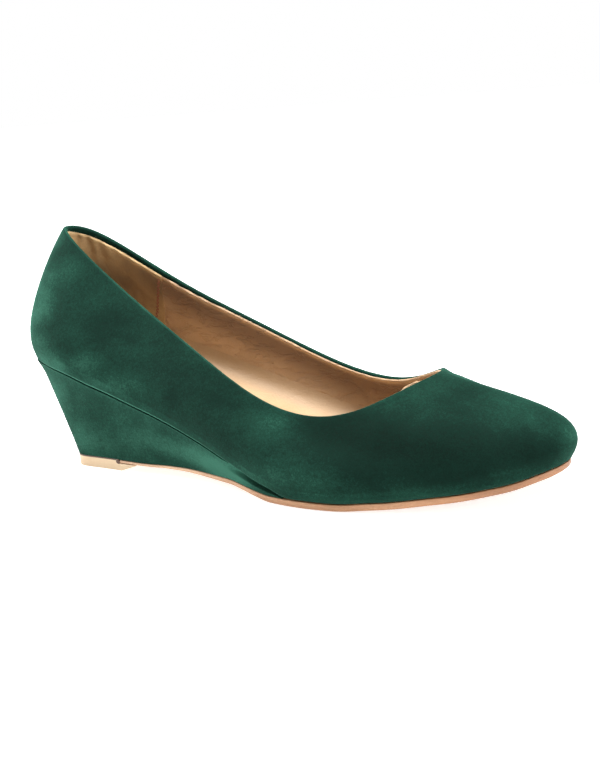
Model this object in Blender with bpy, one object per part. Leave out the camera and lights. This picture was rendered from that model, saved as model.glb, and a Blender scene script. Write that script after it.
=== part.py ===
"""Wedge pump for a right foot, EU 36: upper, insole, wedge, outsole and top piece.

The unit is the metre. The shoe stands on the floor at z = 0 with its toe to +X and its inner
side to +Y, and the origin is on the floor under the middle of the shoe's box.
"""
import math

import bmesh
import bpy
import numpy as np

# Sizes of the last and its upper
SHOE_LENGTH = 0.236
BALL_WIDTH = 0.078
WAIST_WIDTH = 0.0595
HEEL_WIDTH = 0.051
HEEL_PITCH = 0.0432
TOE_SPRING = 0.0116
BACK_HEIGHT = 0.0547
SIDE_HEIGHT = 0.030
THROAT_HEIGHT = 0.0381
UPPER_WALL = 0.0020
FEATHER_HOLLOW = 0.0006
MARGIN_WIDTH = 0.010

# Sizes of what lies inside and below the upper
INSOLE_THICKNESS = 0.0020
OUTSOLE_THICKNESS = 0.0027
TAIL_THICKNESS = 0.0010
SOLE_EDGE_RADIUS = 0.0012
ARCH_HUMP = 0.00295
TOP_PIECE_THICKNESS = 0.0043
TOP_PIECE_LENGTH = 0.0275
TOP_PIECE_LIP = 0.0090
TOP_PIECE_BEVEL = 0.0075
TOP_PIECE_NOSE = 0.0005
WEDGE_SETBACK = 0.0005
WEDGE_FRONT_SHARE = 0.576
WEDGE_HOLLOW = 0.0002
CLEARANCE = 0.0003

# How finely the shapes are cut
STEPS = 5
WALL_STEPS = 10
CORNER_STEPS = 3
RIM_STEPS = 4
EDGE_STEPS = 3
WEDGE_STEPS = 4
EDGE_SHARE = 0.45
STATION_GAP = 0.0015
SHARP_ANGLE = math.radians(40)

# Colours and finish
SUEDE_COLOUR = (0.030, 0.105, 0.070)
LINING_COLOUR = (0.520, 0.310, 0.160)
OUTSOLE_COLOUR = (0.600, 0.310, 0.160)
TOP_PIECE_COLOUR = (0.780, 0.560, 0.340)
SUEDE_ROUGHNESS = 0.9
RUBBER_ROUGHNESS = 0.5

# The last stands over the ball's floor by the outsole and its clearance
LAST_LIFT = OUTSOLE_THICKNESS + CLEARANCE


def table(names, *rows):
    """Named columns as arrays, a row for each section."""
    return dict(zip(names.split(), np.array(rows, dtype=float).T))


# The rows go from the heel's back (0) over heel corner, heel side, quarter, waist, joint, ball,
# vamp and toe corners to the toe's tip (10). Along is a share of the shoe's length.

# The feather edge, where the wall turns under: half widths to each side as shares of the width
FEATHER = table(
    "along   width        outer   inner",
    (0.007, HEEL_WIDTH, 0.000, 0.000),
    (0.027, HEEL_WIDTH, 0.320, 0.315),
    (0.127, HEEL_WIDTH, 0.502, 0.500),
    (0.254, HEEL_WIDTH, 0.549, 0.510),
    (0.403, WAIST_WIDTH, 0.546, 0.454),
    (0.551, BALL_WIDTH, 0.512, 0.410),
    (0.678, BALL_WIDTH, 0.533, 0.468),
    (0.797, BALL_WIDTH, 0.454, 0.430),
    (0.898, BALL_WIDTH, 0.314, 0.301),
    (0.965, BALL_WIDTH, 0.142, 0.142),
    (0.989, BALL_WIDTH, 0.000, 0.000),
)

# The topline, and how high it stands over the last's bottom, as a share of the height
TOPLINE = table(
    "along   width        outer   inner   height          share",
    (0.057, HEEL_WIDTH, -0.053, 0.053, BACK_HEIGHT, 1.000),
    (0.073, HEEL_WIDTH, 0.075, 0.200, BACK_HEIGHT, 0.989),
    (0.137, HEEL_WIDTH, 0.196, 0.312, BACK_HEIGHT, 0.905),
    (0.256, HEEL_WIDTH, 0.335, 0.401, BACK_HEIGHT, 0.747),
    (0.390, WAIST_WIDTH, 0.437, 0.416, SIDE_HEIGHT, 1.167),
    (0.532, BALL_WIDTH, 0.408, 0.405, SIDE_HEIGHT, 1.027),
    (0.647, BALL_WIDTH, 0.388, 0.386, SIDE_HEIGHT, 0.997),
    (0.723, BALL_WIDTH, 0.294, 0.288, THROAT_HEIGHT, 0.891),
    (0.753, BALL_WIDTH, 0.192, 0.196, THROAT_HEIGHT, 0.961),
    (0.768, BALL_WIDTH, 0.096, 0.093, THROAT_HEIGHT, 0.992),
    (0.773, BALL_WIDTH, 0.000, 0.000, THROAT_HEIGHT, 1.000),
)

# The wall between them: rise is how strongly it leaves the feather edge and drop the topline, as
# shares of the height there, flare and lean are its angles in degrees, and fan turns it from
# straight out of the topline (0) to straight towards the feather edge (1)
WALL = table(
    "rise    flare  drop    lean   fan",
    (0.292, 21.0, 0.412, 31.5, 0.0),
    (0.328, 24.0, 0.382, 23.5, 0.0),
    (0.402, 16.8, 0.379, 18.5, 0.0),
    (0.452, 16.3, 0.423, 16.0, 0.0),
    (0.486, 16.3, 0.454, 19.0, 0.0),
    (0.519, 16.0, 0.500, 26.5, 0.0),
    (0.538, 15.0, 0.542, 36.0, 0.3),
    (0.517, 13.5, 0.560, 47.5, 0.7),
    (0.512, 13.0, 0.622, 60.0, 0.9),
    (0.534, 10.7, 0.698, 62.5, 1.0),
    (0.554, 10.3, 0.855, 70.0, 1.0),
)

# The outline of the tread: top piece, the wedge's lower edge and the outsole
TREAD = table(
    "along   width        outer   inner",
    (0.070, HEEL_WIDTH, 0.000, 0.000),
    (0.086, HEEL_WIDTH, 0.275, 0.275),
    (0.140, HEEL_WIDTH, 0.337, 0.332),
    (0.254, HEEL_WIDTH, 0.402, 0.375),
    (0.403, WAIST_WIDTH, 0.466, 0.392),
    (0.551, BALL_WIDTH, 0.497, 0.393),
    (0.678, BALL_WIDTH, 0.521, 0.455),
    (0.797, BALL_WIDTH, 0.440, 0.415),
    (0.898, BALL_WIDTH, 0.298, 0.285),
    (0.963, BALL_WIDTH, 0.128, 0.128),
    (0.979, BALL_WIDTH, 0.000, 0.000),
)

# The last's bottom from the side: shares of the heel's pitch and of the toe's spring
BOTTOM = table(
    "along   pitch  spring",
    (0.000, 1.000, 0.00),
    (0.085, 0.925, 0.00),
    (0.170, 0.800, 0.00),
    (0.254, 0.653, 0.00),
    (0.381, 0.419, 0.00),
    (0.487, 0.193, 0.00),
    (0.551, 0.064, 0.00),
    (0.602, 0.000, 0.00),
    (0.645, 0.000, 0.00),
    (0.720, 0.000, 0.08),
    (0.805, 0.000, 0.23),
    (0.890, 0.000, 0.42),
    (0.953, 0.000, 0.69),
    (1.000, 0.000, 1.00),
)

# The wedge's underside: shares of the top piece's step, of the arch's hump and of what the
# outsole gains from its tail to the ball
ARCH = table(
    "along   step   hump   gain",
    (0.000, 1.00, 0.000, 0.00),
    (0.225, 1.00, 0.000, 0.00),
    (0.263, 0.90, 0.142, 0.03),
    (0.318, 0.50, 0.622, 0.09),
    (0.381, 0.20, 0.856, 0.30),
    (0.445, 0.00, 0.890, 0.46),
    (0.487, 0.00, 0.590, 0.58),
    (0.521, 0.00, 0.202, 0.82),
    (0.555, 0.00, 0.000, 1.00),
    (1.000, 0.00, 0.000, 1.00),
)


def steady(knots, values, at):
    """A smooth curve through the rows that doesn't overshoot them, read at each place."""
    span = np.diff(knots)
    secant = np.diff(values) / span
    slope = np.zeros(len(values))
    slope[0] = secant[0]
    slope[-1] = secant[-1]
    for row in range(1, len(values) - 1):
        before, after = secant[row - 1], secant[row]
        if before * after > 0:
            slope[row] = 2 * before * after / (before + after)
    row = np.clip(np.searchsorted(knots, at) - 1, 0, len(span) - 1)
    part = np.clip((at - knots[row]) / span[row], 0, 1)
    start = values[row] + part * span[row] * slope[row]
    end = values[row + 1] - (1 - part) * span[row] * slope[row + 1]
    blend = part * part * (3 - 2 * part)
    return start * (1 - blend) + end * blend


def last_bottom(x):
    """Height of the last's bottom."""
    along = x / SHOE_LENGTH
    pitch = steady(BOTTOM["along"], BOTTOM["pitch"], along)
    spring = steady(BOTTOM["along"], BOTTOM["spring"], along)
    return LAST_LIFT + HEEL_PITCH * pitch + TOE_SPRING * spring


def wedge_underside(x):
    """Height of the wedge's underside, level with the ball's last bottom in front of it."""
    along = x / SHOE_LENGTH
    step = steady(ARCH["along"], ARCH["step"], along)
    hump = steady(ARCH["along"], ARCH["hump"], along)
    return LAST_LIFT + (TOP_PIECE_THICKNESS + CLEARANCE - LAST_LIFT) * step + ARCH_HUMP * hump


def outsole_top(x):
    """The outsole lies under the wedge, and in front of the ball under the upper."""
    ball = BOTTOM["along"][8] * SHOE_LENGTH
    return np.where(x < ball, wedge_underside(x), last_bottom(x)) - CLEARANCE


def outsole_thickness(x):
    gain = steady(ARCH["along"], ARCH["gain"], x / SHOE_LENGTH)
    return TAIL_THICKNESS + (OUTSOLE_THICKNESS - TAIL_THICKNESS) * gain


def both_sides(outer, inner):
    """Rows down the outer side to the toe and back up the inner side."""
    return np.concatenate([outer, inner[-2:0:-1]])


def slopes(rows):
    """Slopes that make a closed curve through the rows smooth to the second order."""
    one = np.eye(len(rows))
    system = 4 * one + np.roll(one, 1, axis=1) + np.roll(one, -1, axis=1)
    return np.linalg.solve(system, 3 * (np.roll(rows, -1, axis=0) - np.roll(rows, 1, axis=0)))


def around(rows):
    """Stations of the closed smooth curve through the rows."""
    slope = slopes(rows)
    part = (np.arange(STEPS) / STEPS)[None, :, None]
    here = rows[:, None]
    there = np.roll(rows, -1, axis=0)[:, None]
    leave = slope[:, None]
    arrive = np.roll(slope, -1, axis=0)[:, None]
    blend = part * part * (3 - 2 * part)
    curve = here + (there - here) * blend
    curve = curve + leave * part * (1 - part) ** 2 - arrive * part ** 2 * (1 - part)
    return curve.reshape(len(rows) * STEPS, -1)


def column(values):
    """A column of the tables, the same on both sides, at each station."""
    return around(both_sides(values, values)[:, None])


def outline_rows(shape, inset):
    """An outline's rows in plan, moved in by the inset at right angles to it."""
    x = shape["along"] * SHOE_LENGTH
    outer = np.stack([x, -shape["outer"] * shape["width"]], axis=1)
    inner = np.stack([x, shape["inner"] * shape["width"]], axis=1)
    rows = both_sides(outer, inner)
    return rows - outward(slopes(rows)) * inset


def outline(shape, inset=0.0):
    return around(outline_rows(shape, inset))


def unit(vectors):
    return vectors / np.linalg.norm(vectors, axis=-1, keepdims=True)


def outward(along):
    """Directions at right angles to the way round, away from the shoe."""
    return unit(np.stack([along[:, 1], -along[:, 0]], axis=1))


def at_height(plan, height):
    """A plan curve lifted to its heights."""
    return np.concatenate([plan, np.broadcast_to(height, len(plan))[:, None]], axis=1)


def ring_normals(ring):
    return outward(np.roll(ring, -1, axis=0)[:, :2] - np.roll(ring, 1, axis=0)[:, :2])


def moved_in(ring, distance):
    """A ring in plan at an even distance inside another."""
    return ring - ring_normals(ring) * distance


def wall_curve():
    """The four control rings of the wall, from the feather edge to the topline."""
    plan = outline(FEATHER)
    feather = at_height(plan, last_bottom(plan[:, 0]))
    height = TOPLINE["height"] * TOPLINE["share"]
    x = TOPLINE["along"] * SHOE_LENGTH
    z = last_bottom(x) + height
    outer = np.stack([x, -TOPLINE["outer"] * TOPLINE["width"], z], axis=1)
    inner = np.stack([x, TOPLINE["inner"] * TOPLINE["width"], z], axis=1)
    topline = around(both_sides(outer, inner))

    flare = np.radians(column(WALL["flare"]))
    lean = np.radians(column(WALL["lean"]))
    rise = column(WALL["rise"] * height)
    drop = column(WALL["drop"] * height)
    fan = column(WALL["fan"])
    out = ring_normals(feather)
    towards = unit(feather[:, :2] - topline[:, :2])
    back = unit(ring_normals(topline) * (1 - fan) + towards * fan)
    low = feather + np.concatenate([out * np.sin(flare), np.cos(flare)], axis=1) * rise
    high = topline + np.concatenate([back * np.sin(lean), -np.cos(lean)], axis=1) * drop
    return feather, low, high, topline


def bezier(controls, part):
    first, second, third, fourth = controls
    rest = 1 - part
    return (
        first * rest ** 3
        + second * 3 * part * rest ** 2
        + third * 3 * part ** 2 * rest
        + fourth * part ** 3
    )


def outside_rings():
    """The upper's outer skin: under its margin, round the feather corner and up the wall."""
    controls = wall_curve()
    feather, low, high, topline = controls
    plan = outline(FEATHER, MARGIN_WIDTH)
    margin = at_height(plan, last_bottom(plan[:, 0]))
    level = moved_in(feather[:, :2], UPPER_WALL)
    under = unit(feather - at_height(level, last_bottom(level[:, 0])))
    up = unit(low - feather)
    turn = np.arccos(np.clip(np.sum(under * up, axis=1, keepdims=True), -1, 1))
    side = unit(up - under * np.cos(turn))
    radius = UPPER_WALL + FEATHER_HOLLOW
    leg = radius * np.tan(turn / 2)
    start = feather - under * leg
    rings = [margin]
    for step in range(CORNER_STEPS + 1):
        angle = turn * step / CORNER_STEPS
        rings.append(start + (under * np.sin(angle) + side * (1 - np.cos(angle))) * radius)
    first = leg / (3 * np.linalg.norm(low - feather, axis=1, keepdims=True))
    last = 1 - UPPER_WALL / 2 / (3 * np.linalg.norm(high - topline, axis=1, keepdims=True))
    for step in range(1, WALL_STEPS + 1):
        rings.append(bezier(controls, first + (last - first) * step / WALL_STEPS))
    return np.array(rings)


def skin_normals(rings):
    """Directions out of the skin at each of its points."""
    across = np.roll(rings, -1, axis=1) - np.roll(rings, 1, axis=1)
    return unit(np.cross(across, np.gradient(rings, axis=0)))


def upper_rings():
    """The outer skin, the rounded rim and the inner skin back to the margin's end."""
    outside = outside_rings()
    out = skin_normals(outside)
    inside = outside - out * UPPER_WALL
    middle = (outside[-1] + inside[-1]) / 2
    upward = unit(outside[-1] - outside[-2])
    rings = list(outside)
    for step in range(1, RIM_STEPS):
        angle = math.pi * step / RIM_STEPS
        rings.append(middle + (out[-1] * math.cos(angle) + upward * math.sin(angle)) * UPPER_WALL / 2)
    rings.extend(inside[::-1])
    return rings


def extruded(rings):
    """A ring of vertices extruded from place to place, with its first and last loops."""
    mesh = bmesh.new()
    station = mesh.verts.layers.int.new("station")
    first = [mesh.verts.new(point) for point in rings[0]]
    for index, vertex in enumerate(first):
        vertex[station] = index
    edges = [mesh.edges.new((first[index - 1], first[index])) for index in range(len(first))]
    loop = first
    for ring in rings[1:]:
        grown = bmesh.ops.extrude_edge_only(mesh, edges=edges)["geom"]
        loop = [item for item in grown if isinstance(item, bmesh.types.BMVert)]
        loop.sort(key=lambda vertex: vertex[station])
        for vertex, point in zip(loop, ring):
            vertex.co = point
        ahead = set(loop)
        edges = [item for item in grown if isinstance(item, bmesh.types.BMEdge)]
        edges = [edge for edge in edges if ahead.issuperset(edge.verts)]
    return mesh, first, loop


def tube(rings):
    """A skin through the rings, whose last ring joins the first."""
    mesh, first, last = extruded(rings)
    for index in range(len(first)):
        mesh.faces.new((first[index - 1], first[index], last[index], last[index - 1]))
    return mesh


def block(rings):
    """A skin through the rings, closed below and above by faces straight across the shoe."""
    mesh, first, last = extruded(rings)
    for ring in (first, last):
        count = len(ring)
        for index in range(count // 2):
            corners = (ring[index], ring[index + 1], ring[count - index - 1], ring[-index])
            mesh.faces.new(tuple(dict.fromkeys(corners)))
    return mesh


def piece(name, mesh, colour, roughness):
    """An object of the mesh, with its own material."""
    bmesh.ops.recalc_face_normals(mesh, faces=mesh.faces)
    data = bpy.data.meshes.new(name)
    mesh.to_mesh(data)
    mesh.free()
    data.shade_smooth()
    data.set_sharp_from_angle(angle=SHARP_ANGLE)
    material = bpy.data.materials.new(name)
    material.use_nodes = True
    shader = material.node_tree.nodes["Principled BSDF"]
    shader.inputs["Base Color"].default_value = (*colour, 1)
    shader.inputs["Roughness"].default_value = roughness
    shader.inputs["Metallic"].default_value = 0
    data.materials.append(material)
    made = bpy.data.objects.new(name, data)
    bpy.context.scene.collection.objects.link(made)
    return made


def sides(ring):
    """The outer and the inner side of a ring in plan, both from heel to toe."""
    half = len(ring) // 2
    return ring[:half + 1], np.concatenate([ring[:1], ring[:half - 1:-1]])


def end_at(side, x):
    """The point of a side at a distance from the heel, as a row of its own."""
    return np.array([[x, np.interp(x, side[:, 0], side[:, 1])]])


def stations_before(x):
    """How many stations of the tread's side lie clear behind a distance."""
    side = sides(outline(TREAD))[0]
    return int(np.sum(side[:, 0] < x - STATION_GAP))


def heel_part(ring, x):
    """The part of a ring behind a distance, closed straight across there."""
    count = stations_before(x)
    outer, inner = [np.concatenate([side[:count], end_at(side, x)]) for side in sides(ring)]
    return np.concatenate([outer, inner[:0:-1]])


def toe_part(ring, x):
    """The part of a ring in front of a distance, closed straight across there."""
    skipped = stations_before(x + 2 * STATION_GAP)
    outer, inner = [np.concatenate([end_at(side, x), side[skipped:]]) for side in sides(ring)]
    return np.concatenate([outer[::-1], inner[:-1]])


def over_last(plan, depth):
    """A plan curve laid on the last's bottom and raised at right angles to it."""
    x = plan[:, 0]
    slope = (last_bottom(x + CLEARANCE) - last_bottom(x - CLEARANCE)) / (2 * CLEARANCE)
    lift = depth / np.sqrt(1 + slope ** 2)
    return np.stack([x - slope * lift, plan[:, 1], last_bottom(x) + lift], axis=1)


def upper():
    return piece("upper", tube(upper_rings()), SUEDE_COLOUR, SUEDE_ROUGHNESS)


def insole():
    """The insole lies on the margin, and its thick middle fills the space inside it."""
    seat = UPPER_WALL + CLEARANCE
    middle = moved_in(outline(FEATHER, MARGIN_WIDTH), 2 * CLEARANCE)
    edge = moved_in(outline(FEATHER), seat)
    rings = [
        over_last(middle, 0),
        over_last(middle, seat),
        over_last(edge, seat),
        over_last(edge, seat + INSOLE_THICKNESS),
    ]
    return piece("insole", block(rings), LINING_COLOUR, RUBBER_ROUGHNESS)


def open_slopes(ring):
    """The way round a heel part at each point, straight on at its two front corners."""
    along = np.roll(ring, -1, axis=0) - np.roll(ring, 1, axis=0)
    front = len(ring) // 2
    along[front] = ring[front] - ring[front - 1]
    along[front + 1] = ring[front + 2] - ring[front + 1]
    return along


def wedge():
    """The wedge's sides run from the last's bottom down to the tread, a little hollow."""
    front = WEDGE_FRONT_SHARE * SHOE_LENGTH
    high = heel_part(moved_in(outline(FEATHER), WEDGE_SETBACK), front)
    low = heel_part(outline(TREAD), front)
    top = at_height(high, last_bottom(high[:, 0]) - CLEARANCE)
    base = at_height(low, wedge_underside(low[:, 0]))
    tall = (top[:, 2:] - base[:, 2:]) / (top[0, 2] - base[0, 2])
    out = outward(open_slopes(low))
    rings = []
    for step in range(WEDGE_STEPS + 1):
        share = step / WEDGE_STEPS
        ring = base + (top - base) * share
        ring[:, :2] -= out * tall * WEDGE_HOLLOW * 4 * share * (1 - share)
        rings.append(ring)
    return piece("wedge", block(rings), SUEDE_COLOUR, SUEDE_ROUGHNESS)


def outsole():
    """The outsole runs from its thin tail under the wedge to the toe, round at its lower edge."""
    plan = outline(TREAD)
    x = plan[:, 0]
    radius = np.minimum(SOLE_EDGE_RADIUS, outsole_thickness(x) * EDGE_SHARE)[:, None]
    out = ring_normals(plan)
    tail = TREAD["along"][0] * SHOE_LENGTH + TOP_PIECE_LENGTH + CLEARANCE
    rings = []
    for step in range(EDGE_STEPS + 1):
        angle = math.pi / 2 * step / EDGE_STEPS
        ring = toe_part(plan - out * radius * (1 - math.sin(angle)), tail)
        near = ring[:, 0]
        thick = outsole_thickness(near)
        round_edge = np.minimum(SOLE_EDGE_RADIUS, thick * EDGE_SHARE)
        lift = round_edge * (1 - math.cos(angle))
        rings.append(at_height(ring, outsole_top(near) - thick + lift))
    ring = toe_part(plan, tail)
    rings.append(at_height(ring, outsole_top(ring[:, 0])))
    return piece("outsole", block(rings), OUTSOLE_COLOUR, RUBBER_ROUGHNESS)


def slab(name, profile, width):
    """A cutter: a side view's outline extruded across the shoe."""
    mesh = bmesh.new()
    corners = [mesh.verts.new((x, -width / 2, z)) for x, z in profile]
    face = mesh.faces.new(corners)
    grown = bmesh.ops.extrude_face_region(mesh, geom=[face])["geom"]
    moved = [item for item in grown if isinstance(item, bmesh.types.BMVert)]
    bmesh.ops.translate(mesh, verts=moved, vec=(0, width, 0))
    cutter = piece(name, mesh, TOP_PIECE_COLOUR, RUBBER_ROUGHNESS)
    cutter.hide_render = True
    cutter.display_type = "WIRE"
    return cutter


def top_piece():
    """The top piece is cut back for the outsole's tail, and its front is bevelled below it."""
    step = TREAD["along"][0] * SHOE_LENGTH + TOP_PIECE_LENGTH
    front = step + TOP_PIECE_LIP
    ledge = TOP_PIECE_THICKNESS - TAIL_THICKNESS - CLEARANCE
    nose = ledge - TOP_PIECE_NOSE
    plan = heel_part(outline(TREAD), front)
    prism = block([at_height(plan, 0.0), at_height(plan, TOP_PIECE_THICKNESS)])
    made = piece("top_piece", prism, TOP_PIECE_COLOUR, RUBBER_ROUGHNESS)
    above = 2 * TOP_PIECE_THICKNESS
    beyond = front + TOP_PIECE_BEVEL
    behind = front - 2 * TOP_PIECE_BEVEL
    tail_seat = ((step, ledge), (beyond, ledge), (beyond, above), (step, above))
    bevel = ((behind, -nose), (beyond, -nose), (beyond, 2 * nose))
    for name, profile in (("tail seat cutter", tail_seat), ("bevel cutter", bevel)):
        cut = made.modifiers.new(name, "BOOLEAN")
        cut.operation = "DIFFERENCE"
        cut.solver = "EXACT"
        cut.object = slab(name, profile, 2 * HEEL_WIDTH)
    return made


def stand_on_origin(pieces):
    """Moves the pieces so that the origin is under the middle of their box."""
    corners = np.array([vertex.co for made in pieces for vertex in made.data.vertices])
    middle = (corners.min(axis=0) + corners.max(axis=0)) / 2
    for made in bpy.context.scene.objects:
        made.location = (-middle[0], -middle[1], 0)


for old in list(bpy.data.objects):
    bpy.data.objects.remove(old, do_unlink=True)
stand_on_origin([upper(), insole(), wedge(), outsole(), top_piece()])
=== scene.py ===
"""Wedge pump for a right foot in green suede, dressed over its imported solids.

Metres, with the toe to +X, the inner side to +Y and the floor at z = 0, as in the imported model.
"""
import math

import bmesh
import bpy
import numpy as np
from mathutils import Matrix, Vector


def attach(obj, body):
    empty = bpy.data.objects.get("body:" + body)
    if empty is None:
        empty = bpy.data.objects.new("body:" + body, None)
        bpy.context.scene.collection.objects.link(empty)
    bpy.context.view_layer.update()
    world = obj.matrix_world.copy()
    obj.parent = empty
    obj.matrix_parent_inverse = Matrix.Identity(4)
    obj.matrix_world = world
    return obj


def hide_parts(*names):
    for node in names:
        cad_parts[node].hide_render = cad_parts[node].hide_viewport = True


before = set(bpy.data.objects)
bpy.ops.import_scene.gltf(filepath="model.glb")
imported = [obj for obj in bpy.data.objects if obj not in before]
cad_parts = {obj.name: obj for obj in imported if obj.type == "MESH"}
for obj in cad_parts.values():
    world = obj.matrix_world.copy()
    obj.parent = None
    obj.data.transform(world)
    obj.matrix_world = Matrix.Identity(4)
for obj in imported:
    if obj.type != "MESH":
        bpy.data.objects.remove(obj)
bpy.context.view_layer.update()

# The suede upper. One skin of suede and its backing is drawn over the last, turned in under the
# insole and glued there, and folded over at the topline. Stations are counted in the rows of the
# tables: 0 at the heel's back, 10 at the toe, and on round the inner side to 20.
SHOE_LENGTH = 0.236
BALL_WIDTH = 0.078
WAIST_WIDTH = 0.0595
HEEL_WIDTH = 0.051
HEEL_PITCH = 0.0432
TOE_SPRING = 0.0116
BACK_HEIGHT = 0.0547
SIDE_HEIGHT = 0.030
THROAT_HEIGHT = 0.0381
UPPER_WALL = 0.0020
SUEDE_THICKNESS = 0.0012
FEATHER_HOLLOW = 0.0006
MARGIN_WIDTH = 0.010
LAST_LIFT = 0.0030
LAST_TO_ROW = np.array([-0.116572, 0.002341, 0.0])
FOLD_DEPTH = 0.0029
EDGE_FADE = 0.004
PUCKER_HEIGHT = 0.00022
PUCKER_STATIONS = 2.2
STATIONS = np.linspace(0, 20, 321)
SMOOTH_ANGLE = math.radians(50)


def table(names, *rows):
    """Named columns as arrays, a row for each section."""
    return dict(zip(names.split(), np.array(rows, dtype=float).T))


# Along is a share of the shoe's length, outer and inner are half widths as shares of the width, and
# a share is of the height in its row
FEATHER = table(
    "along   width        outer   inner",
    (0.007, HEEL_WIDTH, 0.000, 0.000),
    (0.027, HEEL_WIDTH, 0.320, 0.315),
    (0.127, HEEL_WIDTH, 0.502, 0.500),
    (0.254, HEEL_WIDTH, 0.549, 0.510),
    (0.403, WAIST_WIDTH, 0.546, 0.454),
    (0.551, BALL_WIDTH, 0.512, 0.410),
    (0.678, BALL_WIDTH, 0.533, 0.468),
    (0.797, BALL_WIDTH, 0.454, 0.430),
    (0.898, BALL_WIDTH, 0.314, 0.301),
    (0.960, BALL_WIDTH, 0.142, 0.142),
    (0.980, BALL_WIDTH, 0.000, 0.000),
)
TOPLINE = table(
    "along   width        outer   inner   height          share",
    (0.0625, HEEL_WIDTH, -0.050, 0.050, BACK_HEIGHT, 1.017),
    (0.079, HEEL_WIDTH, 0.070, 0.195, BACK_HEIGHT, 0.999),
    (0.137, HEEL_WIDTH, 0.196, 0.312, BACK_HEIGHT, 0.905),
    (0.256, HEEL_WIDTH, 0.335, 0.401, BACK_HEIGHT, 0.747),
    (0.390, WAIST_WIDTH, 0.437, 0.416, SIDE_HEIGHT, 1.167),
    (0.532, BALL_WIDTH, 0.408, 0.405, SIDE_HEIGHT, 1.027),
    (0.647, BALL_WIDTH, 0.388, 0.386, SIDE_HEIGHT, 0.997),
    (0.723, BALL_WIDTH, 0.294, 0.288, THROAT_HEIGHT, 0.891),
    (0.753, BALL_WIDTH, 0.192, 0.196, THROAT_HEIGHT, 0.961),
    (0.768, BALL_WIDTH, 0.096, 0.093, THROAT_HEIGHT, 0.992),
    (0.773, BALL_WIDTH, 0.000, 0.000, THROAT_HEIGHT, 1.000),
)
# Rise and drop are shares of the topline's height: how far the wall's curve leaves the feather edge
# and the topline. Flare and lean are its angles there, and fan turns its top towards the edge below.
WALL = table(
    "rise    flare  drop    lean   fan",
    (0.272, 24.0, 0.440, 38.0, 0.0),
    (0.310, 26.0, 0.410, 30.0, 0.0),
    (0.402, 16.8, 0.379, 18.5, 0.0),
    (0.452, 16.3, 0.423, 16.0, 0.0),
    (0.486, 16.3, 0.454, 19.0, 0.0),
    (0.519, 16.0, 0.500, 26.5, 0.0),
    (0.538, 15.0, 0.542, 36.0, 0.3),
    (0.517, 13.5, 0.560, 47.5, 0.7),
    (0.512, 13.0, 0.622, 60.0, 0.9),
    (0.510, 24.0, 0.740, 65.5, 1.0),
    (0.530, 35.0, 0.950, 75.0, 1.0),
)
BOTTOM = table(
    "along   pitch  spring",
    (0.000, 1.000, 0.00),
    (0.085, 0.925, 0.00),
    (0.170, 0.800, 0.00),
    (0.254, 0.653, 0.00),
    (0.381, 0.419, 0.00),
    (0.487, 0.193, 0.00),
    (0.551, 0.064, 0.00),
    (0.602, 0.000, 0.00),
    (0.645, 0.000, 0.00),
    (0.720, 0.000, 0.08),
    (0.805, 0.000, 0.23),
    (0.890, 0.000, 0.42),
    (0.953, 0.000, 0.69),
    (1.000, 0.000, 1.00),
)

# Soft troughs (below 0) and ridges (above 0) of the suede: the ends in shoe sizes from the heel's
# back, the centre line and the floor, then width and height
CREASES = (
    ((0.184, -0.006, 0.0420), (0.172, -0.027, 0.0345), 0.0022, -0.00040),
    ((0.186, 0.008, 0.0415), (0.176, 0.024, 0.0350), 0.0022, -0.00030),
    ((0.176, -0.030, 0.0300), (0.160, -0.036, 0.0250), 0.0050, 0.00025),
    ((0.060, -0.029, 0.0760), (0.063, -0.031, 0.0500), 0.0060, 0.00030),
    ((0.070, -0.030, 0.0700), (0.072, -0.031, 0.0480), 0.0050, -0.00025),
    ((0.060, 0.027, 0.0760), (0.063, 0.028, 0.0500), 0.0060, 0.00030),
    ((0.022, -0.020, 0.0860), (0.016, -0.021, 0.0600), 0.0060, -0.00030),
    ((0.196, -0.020, 0.0330), (0.190, -0.034, 0.0200), 0.0060, 0.00020),
    ((0.204, -0.018, 0.0310), (0.199, -0.031, 0.0190), 0.0045, -0.00022),
    ((0.105, -0.032, 0.0300), (0.128, -0.038, 0.0190), 0.0050, -0.00022),
    ((0.112, -0.033, 0.0340), (0.136, -0.040, 0.0220), 0.0055, 0.00020),
)


def smooth(value):
    value = np.clip(value, 0, 1)
    return value * value * (3 - 2 * value)


def steady(knots, values, at):
    """A smooth curve through the rows that doesn't overshoot them, read at each place."""
    span = np.diff(knots)
    secant = np.diff(values) / span
    slope = np.zeros(len(values))
    slope[0] = secant[0]
    slope[-1] = secant[-1]
    for row in range(1, len(values) - 1):
        before, after = secant[row - 1], secant[row]
        if before * after > 0:
            slope[row] = 2 * before * after / (before + after)
    row = np.clip(np.searchsorted(knots, at) - 1, 0, len(span) - 1)
    part = np.clip((at - knots[row]) / span[row], 0, 1)
    start = values[row] + part * span[row] * slope[row]
    end = values[row + 1] - (1 - part) * span[row] * slope[row + 1]
    return start + (end - start) * smooth(part)


def last_bottom(x):
    """Height of the last's bottom."""
    along = x / SHOE_LENGTH
    pitch = steady(BOTTOM["along"], BOTTOM["pitch"], along)
    spring = steady(BOTTOM["along"], BOTTOM["spring"], along)
    return LAST_LIFT + HEEL_PITCH * pitch + TOE_SPRING * spring


def both_sides(outer, inner):
    """Rows down the outer side to the toe and back up the inner side."""
    return np.concatenate([outer, inner[-2:0:-1]])


def slopes(rows):
    """Slopes that make a closed curve through the rows smooth to the second order."""
    one = np.eye(len(rows))
    system = 4 * one + np.roll(one, 1, axis=1) + np.roll(one, -1, axis=1)
    return np.linalg.solve(system, 3 * (np.roll(rows, -1, axis=0) - np.roll(rows, 1, axis=0)))


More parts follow.
